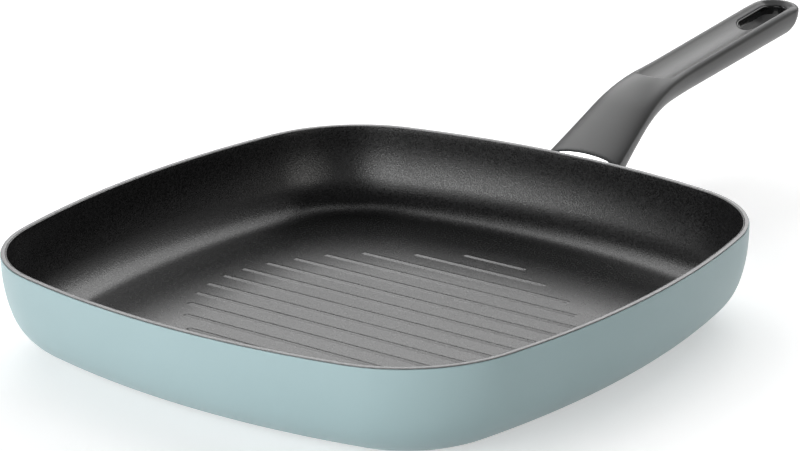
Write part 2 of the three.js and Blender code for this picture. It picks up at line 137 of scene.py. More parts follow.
PAPER_HALF = 3.0
PAPER_DROP = 0.0003
PAPER_LIFT = 0.45
corners = ((-1, -1), (1, -1), (1, 1), (-1, 1))
sheet = bpy.data.meshes.new("studio_floor")
sheet.from_pydata([(x * PAPER_HALF, y * PAPER_HALF, -PAPER_DROP) for x, y in corners],
                  [], [(0, 1, 2, 3)])
floor = bpy.data.objects.new("studio_floor", sheet)
bpy.context.scene.collection.objects.link(floor)


def new_finish(name, fixed=None):
    # a material; values that are the same all over stand on the shader's own sockets
    finish = bpy.data.materials.new(name)
    finish.use_nodes = True
    shader = finish.node_tree.nodes["Principled BSDF"]
    for socket, number in (fixed or {}).items():
        shader.inputs[socket].default_value = number
    return finish


def tree_of(finish):
    # the nodes, the links and the shader of a finish
    tree = finish.node_tree
    return tree.nodes, tree.links, tree.nodes["Principled BSDF"]


paper = new_finish("pale_paper", {
    "Base Color": (0.82, 0.82, 0.82, 1), "Roughness": 0.9, "Specular IOR Level": 0.1})
nodes, links, matt = tree_of(paper)
glow = nodes.new("ShaderNodeEmission")
glow.inputs["Color"].default_value = (1, 1, 1, 1)
lift = nodes.new("ShaderNodeMath")
lift.operation = "MULTIPLY"
lift.inputs[1].default_value = PAPER_LIFT
links.new(seen_ray(nodes, links), lift.inputs[0])
links.new(lift.outputs[0], glow.inputs["Strength"])
both = nodes.new("ShaderNodeAddShader")
links.new(matt.outputs[0], both.inputs[0])
links.new(glow.outputs[0], both.inputs[1])
links.new(both.outputs[0], nodes["Material Output"].inputs["Surface"])
floor.data.materials.append(paper)


# The vessel: one forged aluminium body, turned clean along the rim, which stays bare and shows as a
# narrow land all round. The underside has a foot around the pocket for the steel plate.
# Its plan is four slightly bowed sides that run into round corners.
MM = 0.001
PAN_WIDTH = 280
SIDE_RADIUS = 400
CORNER_RADIUS = 60.3
PAN_HEIGHT = 44.3
DRAFT = math.radians(2)
FLANK_RADIUS = 66.8
FLANK_TURN = math.radians(15.8)
HEEL_RADIUS = 27.8
WALL = 2.8
FLOOR = 5.8
FOOT_STEP = 1
COAT = 0.5
COAT_GAP = 0.15
PLATE_MARGIN = 12
PLATE_THICK = 1.2
PLATE_GAP = 0.2
FIT_GAP = 0.3
RIM_BARE = 0.6
RIM_SETBACK = 0.42
RIM_ROUND = 0.3
RIM_STEP = 1
LIP_ROUND = 0.15
POCKET_ROUND = 0.3
FOOT_ROUND = 0.4


def plan_line(inward, side_steps=22, corner_steps=22):
    # the plan outline, drawn in parallel by an inward distance
    side_centre = PAN_WIDTH / 2 - SIDE_RADIUS
    spread = SIDE_RADIUS - CORNER_RADIUS
    corner = (side_centre + math.sqrt(2 * spread ** 2 - side_centre ** 2)) / 2
    meet = math.atan2(corner, corner - side_centre)
    line = []
    for quarter in range(4):
        c, s = round(math.cos(quarter * math.pi / 2)), round(math.sin(quarter * math.pi / 2))
        arcs = (
            (side_centre, 0, SIDE_RADIUS - inward, -meet, meet, side_steps),
            (corner, corner, CORNER_RADIUS - inward, meet, math.pi / 2 - meet, corner_steps),
        )
        for x0, y0, radius, start, end, steps in arcs:
            for i in range(steps):
                angle = start + (end - start) * i / steps
                x, y = x0 + radius * math.cos(angle), y0 + radius * math.sin(angle)
                line.append((x * c - y * s, x * s + y * c))
    return line


def wall_curve(inward, base, top, base_tilt=math.pi / 2, heel_steps=18, flank_steps=8):
    # pairs of inward distance and height, from the base up the heel and the flank to the top
    lower = DRAFT + FLANK_TURN
    heel_top = HEEL_RADIUS * (1 - math.sin(lower)) + inward * math.sin(lower)
    heel = (heel_top - base) / (1 - math.sin(lower))
    flank = FLANK_RADIUS - inward
    straight_top = heel_top + flank * (math.sin(lower) - math.sin(DRAFT))
    flank_in = flank * (math.cos(DRAFT) - math.cos(lower))

    def at_height(z):
        return (inward / math.cos(DRAFT) + (PAN_HEIGHT - z) * math.tan(DRAFT), z)

    straight_in = at_height(straight_top)[0]
    points = []
    for i in range(heel_steps):
        tilt = base_tilt + (lower - base_tilt) * i / heel_steps
        points.append((straight_in + flank_in + heel * (math.cos(lower) - math.cos(tilt)),
                       heel_top - heel * (math.sin(tilt) - math.sin(lower))))
    for i in range(flank_steps + 1):
        tilt = lower + (DRAFT - lower) * i / flank_steps
        points.append((straight_in + flank * (math.cos(DRAFT) - math.cos(tilt)),
                       straight_top - flank * (math.sin(tilt) - math.sin(DRAFT))))
    points.append(at_height((straight_top + top) / 2))
    points.append(at_height(top))
    return points


def turned_rings(profile):
    return [[Vector((x, y, z)) for x, y in plan_line(inward)] for inward, z in profile]


def band(bm, rings, joined=False):
    # faces between successive rings; gives back the rows of points
    rows = [[bm.verts.new(point) for point in ring] for ring in rings]
    pairs = list(zip(rows, rows[1:] + rows[:1])) if joined else list(zip(rows, rows[1:]))
    for low, high in pairs:
        for i in range(len(low)):
            j = (i + 1) % len(low)
            bm.faces.new((low[i], low[j], high[j], high[i]))
    return rows


def round_edge(before, corner, after, radius, steps=4):
    # points of a small rounding at a corner of a profile
    a, b, c = Vector(before), Vector(corner), Vector(after)
    start = b + (a - b).normalized() * radius
    end = b + (c - b).normalized() * radius
    points = []
    for i in range(steps + 1):
        t = i / steps
        points.append(tuple((1 - t) ** 2 * start + 2 * t * (1 - t) * b + t ** 2 * end))
    return points


def finish_mesh(name, bm, crease=math.radians(40)):
    # a bmesh in millimetres becomes an object in metres, smooth except along sharp edges
    bmesh.ops.recalc_face_normals(bm, faces=bm.faces)
    bmesh.ops.scale(bm, vec=(MM, MM, MM), verts=bm.verts)
    mesh = bpy.data.meshes.new(name)
    bm.to_mesh(mesh)
    bm.free()
    mesh.shade_smooth()
    mesh.set_sharp_from_angle(angle=crease)
    made = bpy.data.objects.new(name, mesh)
    bpy.context.scene.collection.objects.link(made)
    return made


RIDGE_PITCH = 12.15
RIDGE_WIDTH = 3.8
RIDGE_HEIGHT = 0.4
# from the middle ridge to the outermost
RIDGE_HALF_LENGTHS = (90.6, 89.6, 85.6, 79.2, 70.8, 58.4, 37.2, 18)
# pairs of half width and height, as shares of the ridge's own
RIDGE_SECTION = (
    (1.3, 0.0), (1.06, 0.0), (0.98, 0.0), (0.9, 0.024), (0.8, 0.095), (0.68, 0.23),
    (0.56, 0.4), (0.44, 0.6), (0.32, 0.77), (0.2, 0.905), (0.1, 0.975),
)
FLOOR_MARGIN = 1.5
RIDGE_END_STEPS = 10


def ridged_floor(bm, edge, z, shrink):
    # fills the flat floor inside an edge and raises the grill ridges out of it
    foot_edges = [bm.edges.get((edge[i], edge[(i + 1) % len(edge)])) for i in range(len(edge))]
    count = len(RIDGE_HALF_LENGTHS) - 1
    crowns = []
    for k in range(-count, count + 1):
        x0 = k * RIDGE_PITCH
        half_length = RIDGE_HALF_LENGTHS[abs(k)] - shrink
        half = RIDGE_WIDTH / 2 - shrink
        rings = []
        for width, rise in RIDGE_SECTION:
            ring = []
            for side in (1, -1):
                for i in range(RIDGE_END_STEPS + 1):
                    angle = math.pi * i / RIDGE_END_STEPS
                    r = half * width
                    ring.append(Vector((x0 + side * r * math.cos(angle),
                                        side * (half_length - half + r * math.sin(angle)),
                                        z + RIDGE_HEIGHT * rise)))
            rings.append(ring)
        rows = band(bm, rings)
        foot, crest = rows[0], rows[-1]
        foot_edges += [bm.edges.get((foot[i], foot[(i + 1) % len(foot)])) for i in range(len(foot))]
        crowns.append(crest)
    for crest in crowns:
        n = RIDGE_END_STEPS + 1
        top = z + RIDGE_HEIGHT
        ends = [bm.verts.new(sum((v.co for v in crest[s:s + n]), Vector()) / n) for s in (0, n)]
        for v in ends:
            v.co.z = top
        for s, end in ((0, ends[0]), (n, ends[1])):
            for i in range(n - 1):
                bm.faces.new((crest[s + i], crest[s + i + 1], end))
        bm.faces.new((crest[n - 1], crest[n], ends[1], ends[0]))
        bm.faces.new((crest[2 * n - 1], crest[0], ends[0], ends[1]))
    bmesh.ops.triangle_fill(bm, use_beauty=True, use_dissolve=False, edges=foot_edges,
                            normal=(0, 0, 1))


body_skin = COAT + COAT_GAP
lip_foot = PAN_HEIGHT - RIM_BARE + COAT_GAP
outer_wall = wall_curve(body_skin, body_skin, lip_foot)
inner_wall = wall_curve(WALL - body_skin, FLOOR - body_skin, PAN_HEIGHT - RIM_STEP)
base_edge = outer_wall[0][0] + FOOT_STEP
plate_edge = base_edge + PLATE_MARGIN
pocket_edge = plate_edge - FIT_GAP
pocket = PLATE_THICK + PLATE_GAP
lip_edge = (RIM_SETBACK, lip_foot)
rim_out = (RIM_SETBACK, PAN_HEIGHT)
rim_in = (inner_wall[-1][0] - RIM_STEP * math.tan(DRAFT), PAN_HEIGHT)
body_profile = (
    [(pocket_edge, pocket)]
    + round_edge((pocket_edge, pocket), (pocket_edge, 0), (base_edge, 0), POCKET_ROUND)
    + round_edge((pocket_edge, 0), (base_edge, 0), (base_edge, body_skin), FOOT_ROUND)
    + [(base_edge, body_skin)] + outer_wall
    + round_edge(outer_wall[-1], lip_edge, rim_out, LIP_ROUND)
    + round_edge(lip_edge, rim_out, rim_in, LIP_ROUND)
    + round_edge(rim_out, rim_in, inner_wall[-1], RIM_ROUND)
    + inner_wall[::-1]
    + [(inner_wall[0][0] + FLOOR_MARGIN, inner_wall[0][1])]
)
bm = bmesh.new()
rows = band(bm, turned_rings(body_profile))
bm.faces.new(rows[0])
ridged_floor(bm, rows[-1], FLOOR - body_skin, body_skin)
pan = finish_mesh("pan_vessel", bm)


def speckle(finish, scale, detail=2.0, rough=0.5, stretch=None):
    # noise in the object's own space, in lumps per metre, stretched along an axis if asked
    nodes, links, _ = tree_of(finish)
    space = nodes.new("ShaderNodeTexCoord")
    noise = nodes.new("ShaderNodeTexNoise")
    noise.inputs["Scale"].default_value = scale
    noise.inputs["Detail"].default_value = detail
    noise.inputs["Roughness"].default_value = rough
    if stretch:
        mapping = nodes.new("ShaderNodeMapping")
        mapping.inputs["Scale"].default_value = stretch
        links.new(space.outputs["Object"], mapping.inputs["Vector"])
        links.new(mapping.outputs["Vector"], noise.inputs["Vector"])
    else:
        links.new(space.outputs["Object"], noise.inputs["Vector"])
    return noise.outputs["Fac"]


def tint(finish, source, low, high, start=0.3, end=0.7):
    # colours the surface from one shade to another by a noise
    nodes, links, shader = tree_of(finish)
    ramp = nodes.new("ShaderNodeValToRGB")
    ramp.color_ramp.elements[0].position = start
    ramp.color_ramp.elements[0].color = (*low, 1)
    ramp.color_ramp.elements[1].position = end
    ramp.color_ramp.elements[1].color = (*high, 1)
    links.new(source, ramp.inputs["Fac"])
    links.new(ramp.outputs["Color"], shader.inputs["Base Color"])


def roughen(finish, source, low, high):
    # spreads the roughness over a range by a noise
    nodes, links, shader = tree_of(finish)
    spread = nodes.new("ShaderNodeMapRange")
    spread.inputs["To Min"].default_value = low
    spread.inputs["To Max"].default_value = high
    links.new(source, spread.inputs["Value"])
    links.new(spread.outputs["Result"], shader.inputs["Roughness"])


def bumps(finish, source, depth):
    # raises the surface by a noise, in metres
    nodes, links, shader = tree_of(finish)
    bump = nodes.new("ShaderNodeBump")
    bump.inputs["Distance"].default_value = depth
    bump.inputs["Strength"].default_value = 1
    links.new(source, bump.inputs["Height"])
    links.new(bump.outputs["Normal"], shader.inputs["Normal"])
    return bump


turned = new_finish("turned_aluminium", {"Metallic": 1})
grain = speckle(turned, 900, 3)
tint(turned, grain, (0.23, 0.23, 0.232), (0.285, 0.285, 0.287))
roughen(turned, speckle(turned, 120), 0.54, 0.62)
bumps(turned, grain, 0.00002)
pan.data.materials.append(turned)
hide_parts("pan_body")
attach(pan, "root")


# The steel plate: a magnetic sheet pressed into the pocket of the underside, level with the foot,
# with a brushed face and a softly broken edge.
PLATE_BREAK = 0.25
PLATE_FLAT = 9
plate_low, plate_high = (plate_edge, 0), (plate_edge, PLATE_THICK)
plate_profile = (
    round_edge((plate_edge + PLATE_FLAT, 0), plate_low, plate_high, PLATE_BREAK)
    + round_edge(plate_low, plate_high, (plate_edge + PLATE_FLAT, PLATE_THICK), PLATE_BREAK)
)
bm = bmesh.new()
rows = band(bm, turned_rings(plate_profile))
bm.faces.new(rows[0])
bm.faces.new(rows[-1])
plate = finish_mesh("steel_plate", bm)
brushed = new_finish("brushed_plate", {"Metallic": 1})
strokes = speckle(brushed, 30, 4, 0.6, stretch=(1, 45, 1))
tint(brushed, strokes, (0.42, 0.42, 0.43), (0.62, 0.62, 0.63))
roughen(brushed, strokes, 0.25, 0.45)
bumps(brushed, strokes, 0.00002)
plate.data.materials.append(brushed)
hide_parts("base_plate")
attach(plate, "root")


# The non-stick layer: sprayed and baked on the whole inside, wall, floor and ridges, and cut clean
# below the rim. It is nearly black with a low sheen; its mineral grain is calmer on the floor.
LINING_BARE = 0.2
LINING_LIP = 0.2
LINING_LIP_STEPS = 3
COAT_CREASE = math.radians(50)
FLECKS_PER_METRE = 1850
CALM_LEVEL = 6.6
COARSE_LEVEL = 13
CALM_GRAIN = 0.16
EVEN_FLECK = 0.5
lining_top = PAN_HEIGHT - LINING_BARE
bm = bmesh.new()
face = wall_curve(WALL, FLOOR, lining_top)
under = wall_curve(WALL - COAT, FLOOR - COAT, lining_top)
lip = round_edge(face[-2], face[-1], under[-1], LINING_LIP, LINING_LIP_STEPS)
level_edge = [(face[0][0] + FLOOR_MARGIN, FLOOR)]
under_edge = [(under[0][0] + FLOOR_MARGIN, FLOOR - COAT)]
rows = band(bm, turned_rings(level_edge + face[:-1] + lip + under[::-1] + under_edge))
ridged_floor(bm, rows[0], FLOOR, 0)
ridged_floor(bm, rows[-1], FLOOR - COAT, COAT)
lining = finish_mesh("nonstick_layer", bm, COAT_CREASE)


def flecks(finish, scale):
    # mineral grains per metre: a value for each grain, and the distance from its middle
    nodes, links, _ = tree_of(finish)
    space = nodes.new("ShaderNodeTexCoord")
    cells = nodes.new("ShaderNodeTexVoronoi")
    cells.inputs["Scale"].default_value = scale
    links.new(space.outputs["Object"], cells.inputs["Vector"])
    parts = nodes.new("ShaderNodeSeparateColor")
    links.new(cells.outputs["Color"], parts.inputs["Color"])
    return parts.outputs["Red"], cells.outputs["Distance"]


baked = new_finish("baked_nonstick", {"Specular IOR Level": 0.5})
fleck, dome = flecks(baked, FLECKS_PER_METRE)
nodes, links, _ = tree_of(baked)
place = nodes.new("ShaderNodeSeparateXYZ")
links.new(nodes.new("ShaderNodeTexCoord").outputs["Object"], place.inputs[0])
coarse = nodes.new("ShaderNodeMapRange")
coarse.inputs["From Min"].default_value = CALM_LEVEL * MM
coarse.inputs["From Max"].default_value = COARSE_LEVEL * MM
coarse.inputs["To Min"].default_value = CALM_GRAIN
links.new(place.outputs["Z"], coarse.inputs["Value"])
grain = nodes.new("ShaderNodeMix")
grain.inputs["A"].default_value = EVEN_FLECK
links.new(coarse.outputs["Result"], grain.inputs["Factor"])
links.new(fleck, grain.inputs["B"])
tint(baked, grain.outputs["Result"], (0.005, 0.005, 0.0052), (0.015, 0.015, 0.0155), 0, 1)
roughen(baked, grain.outputs["Result"], 0.19, 0.38)
relief = bumps(baked, dome, -0.00006)
links.new(coarse.outputs["Result"], relief.inputs["Strength"])
lining.data.materials.append(baked)
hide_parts("nonstick_lining")
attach(lining, "root")


# The lacquer: a pale blue-green satin paint on the outside wall, from just below the bare rim down
# round the heel, where it stops short of the foot.
HEEL_BARE = math.radians(10)
LACQUER_LIP = 0.32
bm = bmesh.new()
lacquer_top = PAN_HEIGHT - RIM_BARE
face = wall_curve(0, 0, lacquer_top, math.pi / 2 - HEEL_BARE)
under = wall_curve(COAT, COAT, lacquer_top, math.pi / 2 - HEEL_BARE)
lip = round_edge(face[-2], face[-1], under[-1], LACQUER_LIP)
band(bm, turned_rings(face[:-1] + lip + under[::-1]), joined=True)
lacquer = finish_mesh("lacquer_layer", bm, COAT_CREASE)
satin = new_finish("satin_lacquer", {"Specular IOR Level": 0.45})
tint(satin, speckle(satin, 18), (0.378, 0.515, 0.536), (0.395, 0.534, 0.556))
roughen(satin, speckle(satin, 60), 0.36, 0.42)
bumps(satin, speckle(satin, 420), 0.000012)
lacquer.data.materials.append(satin)
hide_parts("lacquer_coat")
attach(lacquer, "root")


# The fixing, hidden in the neck: a cast bracket that is welded to the bare wall and reaches into
# the handle, and a plated pan head screw with a washer, which pulls the handle onto it from below.
# It follows the handle's own line: a steep neck, a bend and a flatter grip.
WALL_X = PAN_WIDTH / 2
HANDLE_START = 16.7
HANDLE_END = 198.6
NECK_SLOPE = math.radians(27.4)
GRIP_SLOPE = math.radians(5.8)
BEND_REACH = 61.7
BEND_RISE = 15.4
BEND_RADIUS = 91
NECK_LENGTH = 80
NECK_HALF = 19.9
NECK_CROWN = 3.85
NECK_BELLY = 24
GRIP_HALF = 12.5
GRIP_CROWN = 4.7
GRIP_BELLY = 12.6
HALF_TAPER = 1.5
BELLY_TAPER = 3.5
END_SWELL = 0.4
END_BELLY = 1.5
END_ROUND = 11
END_DROP = 24
SQUARENESS = 2.2


def grip_line(s):
    return PAN_HEIGHT + BEND_RISE + (s - BEND_REACH) * math.tan(GRIP_SLOPE)


def edge_height(s):
    # height of the widest line of the handle at a distance from the wall
    tangent = BEND_RADIUS * math.tan((NECK_SLOPE - GRIP_SLOPE) / 2)
    bend_start = BEND_REACH - tangent * math.cos(NECK_SLOPE)
    bend_end = BEND_REACH + tangent * math.cos(GRIP_SLOPE)
    corner = PAN_HEIGHT + BEND_RISE
    if s < bend_start:
        return corner + (s - BEND_REACH) * math.tan(NECK_SLOPE)
    if s > bend_end:
        return grip_line(s)
    centre_s = bend_start + BEND_RADIUS * math.sin(NECK_SLOPE)
    centre_z = corner - tangent * math.sin(NECK_SLOPE) - BEND_RADIUS * math.cos(NECK_SLOPE)
    return centre_z + math.sqrt(BEND_RADIUS ** 2 - (s - centre_s) ** 2)


def handle_sizes(s):
    # half width, crown and belly, which narrow from the neck to the grip and close at the end
    neck = max(0, 1 - (s - HANDLE_START) / NECK_LENGTH)
    grip = max(0, (s - HANDLE_START - NECK_LENGTH) / (HANDLE_END - HANDLE_START - NECK_LENGTH))

    def fade(length):
        return math.sqrt(max(0, 1 - max(0, 1 - (HANDLE_END - s) / length) ** 2))

    half = GRIP_HALF + (NECK_HALF - GRIP_HALF) * neck ** HALF_TAPER + END_SWELL * grip ** 2
    belly = GRIP_BELLY + (NECK_BELLY - GRIP_BELLY) * neck ** BELLY_TAPER + END_BELLY * grip
    crown = GRIP_CROWN + (NECK_CROWN - GRIP_CROWN) * neck
    return half * fade(END_ROUND), crown * fade(END_DROP), belly * fade(END_ROUND)


def section_point(angle, half, crown, belly):
    # one point of the section, from the right side over the crown to the left and back below
    c, d = math.cos(angle), math.sin(angle)
    if d < 0:
        return half * c, belly * d
    bulge = 2 / SQUARENESS
    return half * math.copysign(abs(c) ** bulge, c), crown * d ** bulge


TONGUE_LIFT = 5.2
TONGUE_WIDTH = 10
TONGUE_THICK = 4.5
TONGUE_LENGTH = 34
SCREW_REACH = 18
SCREW_DIAMETER = 4
SHANK_BREAK = 0.4
HEAD_DIAMETER = 7
HEAD_HEIGHT = 2.2
HEAD_BREAK = 0.15
CROWN_SHARE = 0.75
CROWN_START = 5
CROWN_STEPS = 7
WASHER_DIAMETER = 8
WASHER_THICK = 0.8
WASHER_BREAK = 0.12
SEAT_THICK = 2
DRIVE_SHARE = 0.62
DRIVE_WIDTH = 0.9
DRIVE_DEPTH = 1.3
SCREW_CREASE = math.radians(35)
LATHE_STEPS = 48
CUT_MERGE = 0.000002
root_crown, root_belly = handle_sizes(HANDLE_START)[1:]
root_middle = edge_height(HANDLE_START) + (root_crown - root_belly) / 2
neck_frame = (Matrix.Translation((WALL_X + HANDLE_START, 0, root_middle))
              @ Matrix.Rotation(-NECK_SLOPE, 4, "Y"))
screw_frame = neck_frame @ Matrix.Translation((SCREW_REACH, 0, 0))
tongue_top = TONGUE_LIFT + TONGUE_THICK / 2
tongue_foot = TONGUE_LIFT - TONGUE_THICK / 2
seat_level = tongue_foot - FIT_GAP - SEAT_THICK
washer_foot = seat_level - FIT_GAP - WASHER_THICK
head_top = washer_foot - FIT_GAP


def round_line(radius, steps):
    # a circle, as pairs
    turns = [2 * math.pi * i / steps for i in range(steps)]
    return [(radius * math.cos(a), radius * math.sin(a)) for a in turns]


def lathe(bm, profile, joined=False):
    # turns pairs of radius and height about local z
    rings = [[Vector((x, y, z)) for x, y in round_line(r, LATHE_STEPS)] for r, z in profile]
    return band(bm, rings, joined)


def cut_away(piece, cutters, crease):
    # cuts shapes out of a mesh, and closes up the faces of no area that the cuts leave
    for cutter in cutters:
        cut = piece.modifiers.new("cut", "BOOLEAN")
        cut.operation = "DIFFERENCE"
        cut.solver = "EXACT"
        cut.object = cutter
    bpy.context.view_layer.update()
    graph = bpy.context.evaluated_depsgraph_get()
    cleaned = bpy.data.meshes.new_from_object(piece.evaluated_get(graph))
    bm = bmesh.new()
    bm.from_mesh(cleaned)
    bmesh.ops.remove_doubles(bm, verts=bm.verts, dist=CUT_MERGE)
    many_sided = [face for face in bm.faces if len(face.verts) > 4]
    bmesh.ops.triangulate(bm, faces=many_sided, quad_method="BEAUTY", ngon_method="BEAUTY")
    bmesh.ops.dissolve_degenerate(bm, dist=CUT_MERGE, edges=bm.edges)
    bm.to_mesh(cleaned)
    bm.free()
    piece.modifiers.clear()
    old = piece.data
    piece.data = cleaned
    bpy.data.meshes.remove(old)
    for cutter in cutters:
        bpy.data.objects.remove(cutter)
    cleaned.shade_smooth()
    cleaned.set_sharp_from_angle(angle=crease)


bm = bmesh.new()
head_radius = HEAD_DIAMETER / 2
shank_radius = SCREW_DIAMETER / 2
head_foot = head_top - HEAD_HEIGHT
head_crown = []
for i in range(CROWN_STEPS + 1):
    a = math.radians(CROWN_START + (90 - CROWN_START) * i / CROWN_STEPS)
    head_crown.append((head_radius * math.sin(a),
                       head_foot + HEAD_HEIGHT * CROWN_SHARE * (1 - math.cos(a))))
rows = lathe(bm, head_crown + [
    (head_radius, head_top - HEAD_BREAK), (head_radius - HEAD_BREAK, head_top),
    (shank_radius, head_top), (shank_radius, tongue_top - SHANK_BREAK),
    (shank_radius - SHANK_BREAK, tongue_top),
])
bm.faces.new(rows[0])
bm.faces.new(rows[-1])
bmesh.ops.transform(bm, matrix=screw_frame, verts=bm.verts)
screw = finish_mesh("pan_head_screw", bm)
drive_bars = []
for turn in (0, math.pi / 2):
    bm = bmesh.new()
    bmesh.ops.create_cube(bm, size=1)
    bar = Matrix.Diagonal((HEAD_DIAMETER * DRIVE_SHARE, DRIVE_WIDTH, 2 * DRIVE_DEPTH, 1))
    shape = (screw_frame @ Matrix.Translation((0, 0, head_foot))
             @ Matrix.Rotation(turn, 4, "Z") @ bar)
    bmesh.ops.transform(bm, matrix=shape, verts=bm.verts)
    drive_bars.append(finish_mesh("drive_cutter", bm))
cut_away(screw, drive_bars, SCREW_CREASE)

bm = bmesh.new()
bore = shank_radius + FIT_GAP
rim = WASHER_DIAMETER / 2
washer_top = washer_foot + WASHER_THICK
low, high = washer_foot + WASHER_BREAK, washer_top - WASHER_BREAK
near, far = bore + WASHER_BREAK, rim - WASHER_BREAK
lathe(bm, [(bore, low), (near, washer_foot), (far, washer_foot), (rim, low),
           (rim, high), (far, washer_top), (near, washer_top), (bore, high)], joined=True)
bmesh.ops.transform(bm, matrix=screw_frame, verts=bm.verts)
washer = finish_mesh("spring_washer", bm)

plated = new_finish("plated_steel", {"Metallic": 1})
grain = speckle(plated, 1400, 3)
tint(plated, grain, (0.40, 0.40, 0.41), (0.58, 0.58, 0.58))
roughen(plated, grain, 0.25, 0.4)
bumps(plated, grain, 0.00001)
for small, node in ((screw, "handle_screw"), (washer, "lock_washer")):
    small.data.materials.append(plated)
    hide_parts(node)
    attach(small, "root")

cast = new_finish("cast_bracket", {"Metallic": 1})
skin = speckle(cast, 700, 4)
tint(cast, skin, (0.36, 0.36, 0.37), (0.52, 0.52, 0.53))
roughen(cast, skin, 0.45, 0.62)
bumps(cast, skin, 0.00004)
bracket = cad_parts["handle_bracket"]
bracket.data.materials.clear()
bracket.data.materials.append(cast)


# The flame guard: a thin drawn sleeve of polished steel that hides the bracket. It tapers from the
# handle, where it tucks under the skirt, to the wall, which it follows at a hair's distance.
GUARD_INSET = 0.8
GUARD_TUCK = 5
GUARD_SHEET = 1
GUARD_WALL_HALF = 17
GUARD_WALL_CROWN = 3.5
GUARD_WALL_BELLY = 11
GUARD_STATIONS = 14
GUARD_AROUND = 96
GUARD_SEARCH = -24
GUARD_HALVINGS = 40
wall_face = wall_curve(-FIT_GAP, -FIT_GAP, PAN_HEIGHT)


def guard_point(s, angle, inset):
    # a place on the sleeve, at a distance from the wall and an angle around it
    share = min(1, max(0, s / HANDLE_START))
    at_wall = (GUARD_WALL_HALF, GUARD_WALL_CROWN, GUARD_WALL_BELLY)
    at_skirt = (size - GUARD_INSET for size in handle_sizes(max(s, HANDLE_START)))
    half, crown, belly = (a + (b - a) * share - inset for a, b in zip(at_wall, at_skirt))
    y, z = section_point(angle, half, crown, belly)
    return Vector((WALL_X + s, y, edge_height(s) + z))


def wall_reach(y, z):
    # how far out the wall's face stands at a place beside the handle
    inward = np.interp(z, [p[1] for p in wall_face], [p[0] for p in wall_face])
    return WALL_X - SIDE_RADIUS + math.sqrt((SIDE_RADIUS - inward) ** 2 - y ** 2)


def guard_wall_end(angle, inset):
    # where the sleeve meets the wall's face, found by halving
    low, high = GUARD_SEARCH, HANDLE_START
    for _ in range(GUARD_HALVINGS):
        middle = (low + high) / 2
        point = guard_point(middle, angle, inset)
        if point.x < wall_reach(point.y, point.z):
            low = middle
        else:
            high = middle
    return high


def guard_rings(inset):
    angles = [2 * math.pi * i / GUARD_AROUND for i in range(GUARD_AROUND)]
    ends = [guard_wall_end(angle, inset) for angle in angles]
    rings = []
    for k in range(GUARD_STATIONS + 1):
        ring = []
        for angle, end in zip(angles, ends):
            s = end + (HANDLE_START + GUARD_TUCK - end) * k / GUARD_STATIONS
            ring.append(guard_point(s, angle, inset))
        rings.append(ring)
    return rings


bm = bmesh.new()
band(bm, guard_rings(0) + guard_rings(GUARD_SHEET)[::-1], joined=True)
guard = finish_mesh("guard_sleeve", bm)
polished = new_finish("polished_sleeve", {"Metallic": 1})
haze = speckle(polished, 60, 4)
tint(polished, haze, (0.82, 0.82, 0.83), (0.92, 0.92, 0.92))
roughen(polished, haze, 0.06, 0.16)
bumps(polished, speckle(polished, 900, 3), 0.000002)
guard.data.materials.append(polished)
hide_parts("flame_guard")
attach(guard, "root")


# The handle: one moulding in grey soft-touch plastic. A trough is scooped along the top of the grip
# between two rails, an oblong hang hole goes through its outer end, and a skirt covers the guard.
RECESS_START = 77.5
RECESS_END = 189.5
RECESS_LEAD = 8.6
RECESS_RUNOUT = 8.8
RECESS_WIDTH = 20.2
RECESS_DEPTH = 4
RAIL_SOFTNESS = 1.1
HOLE_REACH = 175.6
HOLE_LENGTH = 35.9
HOLE_WIDTH = 14.4
HOLE_ROUND = 0.25
SKIRT_ROUND = 0.3
SKIRT_BOW = 1.8
SKIRT_BLEND = 30
MOUTH_SHELF = 3
TOP_STEPS = 96
BELLY_STEPS = 56
# rings stand close together where the trough starts and from the hole to the end
FINE_FROM = 66
FINE_TO = 84
HOLE_FROM = 154
NECK_STEP = 1.3
GRIP_STEP = 1.6
FINE_STEP = 0.45
END_STEPS = 26
BORE_STEPS = 40
SOCKET_LEAD = 12
SHANK_LEAD = 1
CUT_CLEAR = 30
HANDLE_CREASE = math.radians(32)
rail_share = (1 - (RECESS_WIDTH / 2 / GRIP_HALF) ** SQUARENESS) ** (1 / SQUARENESS)
recess_floor = GRIP_CROWN * rail_share - RECESS_DEPTH
recess_radius = ((RECESS_WIDTH / 2) ** 2 + RECESS_DEPTH ** 2) / (2 * RECESS_DEPTH)
grip_frame = (Matrix.Translation((WALL_X + HOLE_REACH, 0, edge_height(HOLE_REACH)))
              @ Matrix.Rotation(-GRIP_SLOPE, 4, "Y"))


def trough_height(s, y):
    # height of the scooped floor, or None outside the scoop
    past = max((RECESS_START - s) / RECESS_LEAD, (s - RECESS_END) / RECESS_RUNOUT, 0)
    left = 1 - past ** 2 - (y / recess_radius) ** 2
    if left <= 0:
        return None
    return grip_line(s) + recess_floor + recess_radius * (1 - math.sqrt(left))


def soft_min(a, b, softness):
    # the lower of two heights, with a soft turn where they cross
    blend = max(softness - abs(a - b), 0) / softness
    return min(a, b) - blend ** 2 * softness / 4


def hole_edge(s, y):
    # distance outside the hang hole's outline, along the top
    reach = (HOLE_LENGTH - HOLE_WIDTH) / 2
    along = max(abs((s - HOLE_REACH) / math.cos(GRIP_SLOPE)) - reach, 0)
    return math.hypot(along, y) - HOLE_WIDTH / 2


def rolled(distance, radius):
    # how far a rounded edge drops at a distance from its corner
    if distance >= radius:
        return 0.0
    return radius - math.sqrt(radius ** 2 - (radius - max(distance, 0)) ** 2)


